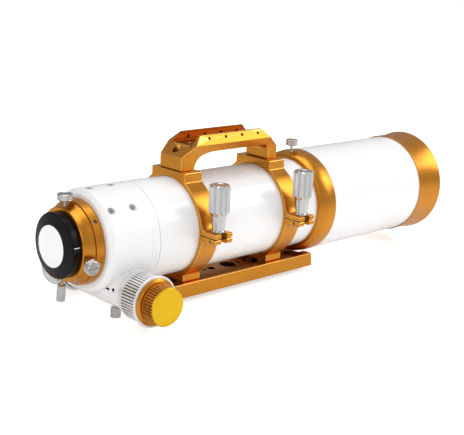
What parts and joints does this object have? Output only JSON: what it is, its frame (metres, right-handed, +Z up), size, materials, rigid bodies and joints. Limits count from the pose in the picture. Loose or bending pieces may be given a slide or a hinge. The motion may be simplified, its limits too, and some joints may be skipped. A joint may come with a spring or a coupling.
{
  "type": "refractor telescope",
  "caption": "Refractor telescope tube with hinged tube rings, carry handle, wide dovetail plate, rack-and-pinion focuser and sliding dew shield.",
  "frame": {"origin": "centre of the dovetail plate's underside", "axes": "+Y along the optical axis towards the sky, +Z up, +X towards the fine focus knob and the ring clamps"},
  "size_m": [0.1883, 0.5758, 0.1812],
  "materials": {
    "gold_anodised": "satin orange-gold anodising over fine turning",
    "white_paint": "glossy white powder coat",
    "knob_silver": "ribbed clear-anodised band between bright rims",
    "polished_aluminium": "polished, fluted",
    "nickel_steel": "nickel plate, knurled",
    "machined_steel": "machined",
    "black_steel": "black oxide",
    "black_anodised": "satin black anodising",
    "yellow_anodised": "bright yellow-gold anodising",
    "flat_black": "flat black paint",
    "optical_glass": "polished, coated",
    "nylon": "moulded",
    "brass": "machined",
    "white_plastic": "matte moulded",
    "felt": "black felt"
  },
  "bodies": {
    "telescope": {"dovetail_plate": "gold_anodised", "rear_ring_lower": "gold_anodised", "front_ring_lower": "gold_anodised", "main_tube": "white_paint", "tail_adapter": "white_paint", "focuser_body": "white_paint", "pinion_housing": "white_paint", "rear_ring_hinge_pin": "machined_steel", "front_ring_hinge_pin": "machined_steel", "rear_ring_foot_bolt": "black_steel", "front_ring_foot_bolt": "black_steel", "rear_ring_cross_pin": "black_steel", "front_ring_cross_pin": "black_steel", "left_rear_pad_screw": "black_steel", "left_front_pad_screw": "black_steel", "top_rear_pad_screw": "black_steel", "top_front_pad_screw": "black_steel", "right_rear_pad_screw": "black_steel", "right_front_pad_screw": "black_steel", "inner_housing_screw": "black_steel", "outer_housing_screw": "black_steel", "lens_cell": "black_anodised", "lens_retaining_ring": "black_anodised", "lens_spacer": "black_anodised", "tube_baffle": "flat_black", "objective_crown": "optical_glass", "objective_flint": "optical_glass", "left_guide_pad": "nylon", "top_guide_pad": "nylon", "right_guide_pad": "nylon", "left_pinion_bushing": "brass", "right_pinion_bushing": "brass"},
    "ring_lid": {"rear_ring_upper": "gold_anodised", "front_ring_upper": "gold_anodised", "carry_handle": "gold_anodised", "rear_handle_bolt": "black_steel", "front_handle_bolt": "black_steel"},
    "rear_clamp_nut": {"rear_ring_thumbscrew": "polished_aluminium"},
    "front_clamp_nut": {"front_ring_thumbscrew": "polished_aluminium"},
    "coarse_drive": {"pinion_shaft": "machined_steel", "left_coarse_knob": "knob_silver", "right_coarse_knob": "knob_silver", "reducer_cap": "gold_anodised"},
    "fine_drive": {"fine_knob": "yellow_anodised"},
    "draw": {"drawtube": "black_anodised", "drawtube_rack": "machined_steel", "drawtube_flange": "gold_anodised"},
    "rotator": {"visual_back": "gold_anodised", "compression_ring": "brass"},
    "back_screw_top": {"top_back_thumbscrew": "nickel_steel"},
    "back_screw_side": {"side_back_thumbscrew": "nickel_steel"},
    "back_screw_bottom": {"bottom_back_thumbscrew": "nickel_steel"},
    "adapter": {"eyepiece_adapter": "black_anodised"},
    "plug": {"dust_plug": "white_plastic"},
    "focus_lock": {"focus_lock_screw": "nickel_steel"},
    "dew_shield": {"dew_shield_tube": "white_paint", "dew_shield_collar": "gold_anodised", "dew_shield_felt": "felt", "dew_shield_front_ring": "gold_anodised"},
    "dew_lock": {"dew_lock_screw": "nickel_steel"}
  },
  "joints": [
    {"name": "ring_lid_hinge", "type": "hinge", "parent": "telescope", "child": "ring_lid", "pos_m": [-0.063, -0.065, 0.0761], "axis": [0, -1, 0], "range_deg": [0, 75]},
    {"name": "rear_clamp_turn", "type": "hinge", "parent": "ring_lid", "child": "rear_clamp_nut", "pos_m": [0.071, -0.065, 0.1057], "axis": [0, 0, 1], "range_deg": [0, 720]},
    {"name": "front_clamp_turn", "type": "hinge", "parent": "ring_lid", "child": "front_clamp_nut", "pos_m": [0.071, 0.0649, 0.1057], "axis": [0, 0, 1], "range_deg": [0, 720]},
    {"name": "coarse_focus_turn", "type": "hinge", "parent": "telescope", "child": "coarse_drive", "pos_m": [0, -0.1595, 0.0261], "axis": [1, 0, 0], "range_deg": [0, 401.07]},
    {"name": "fine_focus_turn", "type": "hinge", "parent": "telescope", "child": "fine_drive", "pos_m": [0.095, -0.1595, 0.0261], "axis": [1, 0, 0], "range_deg": [0, 4015.7]},
    {"name": "focus_slide", "type": "slide", "parent": "telescope", "child": "draw", "axis": [0, -1, 0], "range_m": [0, 0.0701]},
    {"name": "camera_angle", "type": "hinge", "parent": "draw", "child": "rotator", "pos_m": [0, -0.2075, 0.0757], "axis": [0, -1, 0], "continuous": true},
    {"name": "back_screw_top_turn", "type": "hinge", "parent": "rotator", "child": "back_screw_top", "pos_m": [0, -0.2118, 0.1257], "axis": [0, 0, 1], "range_deg": [0, 720]},
    {"name": "back_screw_side_turn", "type": "hinge", "parent": "rotator", "child": "back_screw_side", "pos_m": [0.0483, -0.2118, 0.06276], "axis": [0.9659, 0, -0.2588], "range_deg": [0, 720]},
    {"name": "back_screw_bottom_turn", "type": "hinge", "parent": "rotator", "child": "back_screw_bottom", "pos_m": [-0.00609, -0.2118, 0.02607], "axis": [-0.1219, 0, -0.9925], "range_deg": [0, 720]},
    {"name": "adapter_slide", "type": "slide", "parent": "rotator", "child": "adapter", "axis": [0, -1, 0], "range_m": [0, 0.04]},
    {"name": "plug_slide", "type": "slide", "parent": "adapter", "child": "plug", "axis": [0, -1, 0], "range_m": [0, 0.03]},
    {"name": "focus_lock_turn", "type": "hinge", "parent": "telescope", "child": "focus_lock", "pos_m": [0.0262, -0.1656, 0.0007], "axis": [0, 0, 1], "range_deg": [0, 720]},
    {"name": "dew_shield_slide", "type": "slide", "parent": "telescope", "child": "dew_shield", "axis": [0, 1, 0], "range_m": [0, 0.11]},
    {"name": "dew_lock_turn", "type": "hinge", "parent": "dew_shield", "child": "dew_lock", "pos_m": [0, 0.1185, 0.1487], "axis": [0, 0, 1], "range_deg": [0, 720]}
  ],
  "couplings": [
    {"joint": "fine_focus_turn", "follows": "coarse_focus_turn", "ratio": 10},
    {"joint": "focus_slide", "follows": "coarse_focus_turn", "m_per_rad": 0.01}
  ]
}
